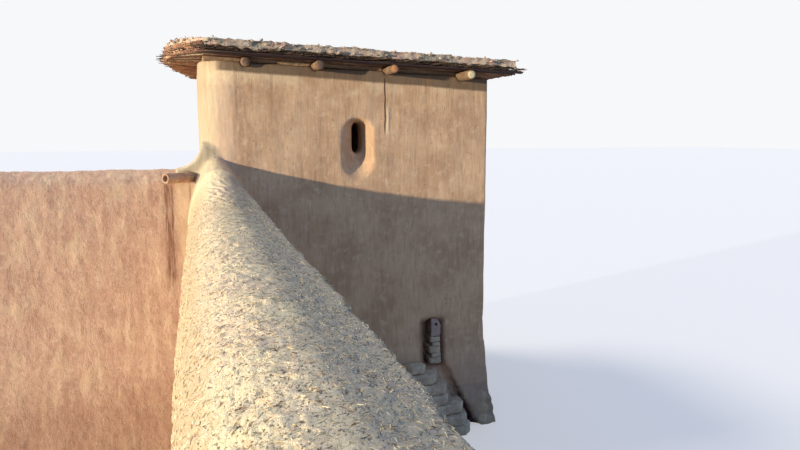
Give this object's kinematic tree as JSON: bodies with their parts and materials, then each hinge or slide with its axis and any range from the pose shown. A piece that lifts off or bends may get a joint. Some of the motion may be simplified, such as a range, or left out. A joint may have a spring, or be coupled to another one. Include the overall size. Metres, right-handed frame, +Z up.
{
  "type": "small flat-roofed adobe house",
  "caption": "Small flat-roofed house of sun-dried earth with a rounded corner, slit window, log and cane roof, and domed yard walls meeting its front corner.",
  "frame": {"origin": "on the ground under the middle of the room, on the underside of the earth floor", "axes": "+X runs to the right along the front wall that holds the slit window, +Y runs from the front wall into the depth, +Z is up"},
  "size_m": [6.0548, 9.28, 4.7516],
  "materials": {
    "earth_plaster": "matt straw-mud plaster",
    "yard_wall_mud": "matt mud",
    "straw_mud": "rough straw mud",
    "red_earth": "matt reddish mud",
    "roof_earth": "rough cloddy earth",
    "eaves_mud": "rough mud",
    "rammed_floor": "rammed earth",
    "rubble_footing": "rubble in mud",
    "flat_stone": "flat field stone",
    "log_wood": "weathered log",
    "reed_cane": "dry cane",
    "brush": "dry brush",
    "fired_clay": "fired clay"
  },
  "bodies": {
    "root": {"footing_corner": "rubble_footing", "footing_front": "rubble_footing", "footing_left": "rubble_footing", "footing_right": "rubble_footing", "footing_back_left": "rubble_footing", "footing_back_right": "rubble_footing", "threshold_stone": "flat_stone", "earth_floor": "rammed_floor", "corner_mass": "earth_plaster", "front_wall": "earth_plaster", "left_wall": "earth_plaster", "right_wall": "earth_plaster", "back_wall_left": "earth_plaster", "back_wall_right": "earth_plaster", "back_wall_over_door": "earth_plaster", "door_lintel": "log_wood", "hatch_stones": "flat_stone", "eaves_packing_front": "eaves_mud", "eaves_packing_back": "eaves_mud", "eaves_packing_left": "eaves_mud", "eaves_packing_right": "eaves_mud", "roof_beam_1": "log_wood", "roof_beam_2": "log_wood", "roof_beam_3": "log_wood", "roof_beam_4": "log_wood", "cane_mat_front": "reed_cane", "cane_mat_middle": "reed_cane", "cane_mat_back": "reed_cane", "brush_layer": "brush", "earth_roof": "roof_earth", "boundary_wall_1": "yard_wall_mud", "boundary_wall_2": "yard_wall_mud", "boundary_wall_3": "yard_wall_mud", "wall_coping_1": "straw_mud", "wall_coping_2": "straw_mud", "wall_coping_3": "straw_mud", "coping_sweep": "straw_mud", "side_wall": "red_earth", "side_wall_crown": "red_earth", "corner_fillet": "earth_plaster", "drain_spout": "fired_clay", "foot_slabs": "flat_stone"}
  },
  "joints": []
}
